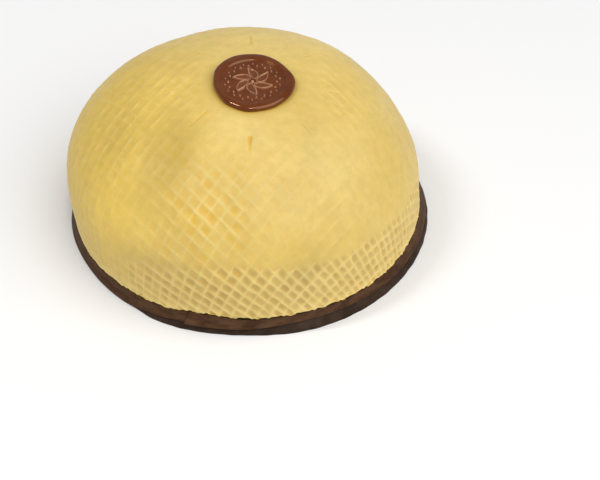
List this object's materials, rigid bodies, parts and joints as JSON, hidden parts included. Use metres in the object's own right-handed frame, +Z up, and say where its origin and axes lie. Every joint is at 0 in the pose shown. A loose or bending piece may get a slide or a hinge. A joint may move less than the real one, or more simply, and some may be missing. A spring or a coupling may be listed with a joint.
{
  "type": "dome torte",
  "caption": "Whole dome-shaped cream torte under pale marzipan embossed with a waffle lattice, with a round chocolate seal on its crown and a chocolate ribbon round its foot.",
  "frame": {"origin": "middle of the underside, at the bottom centre of the overall box", "axes": "+Z up through the crown, -Y towards the side that faces the viewer, where the ribbon's free end shows, +X to that viewer's right"},
  "size_m": [0.2266, 0.224, 0.1095],
  "materials": {
    "marzipan": "pale yellow rolled marzipan, semi-matte, pressed with a waffle lattice",
    "dark_chocolate": "dark chocolate glaze, satin",
    "ribbon_chocolate": "dark brown chocolate ribbon, satin with a slight bloom",
    "milk_chocolate": "poured chocolate, glossy"
  },
  "bodies": {
    "root": {"torte_body": "marzipan", "band_foot": "dark_chocolate", "band_ribbon": "ribbon_chocolate", "crown_seal": "milk_chocolate"}
  },
  "joints": []
}
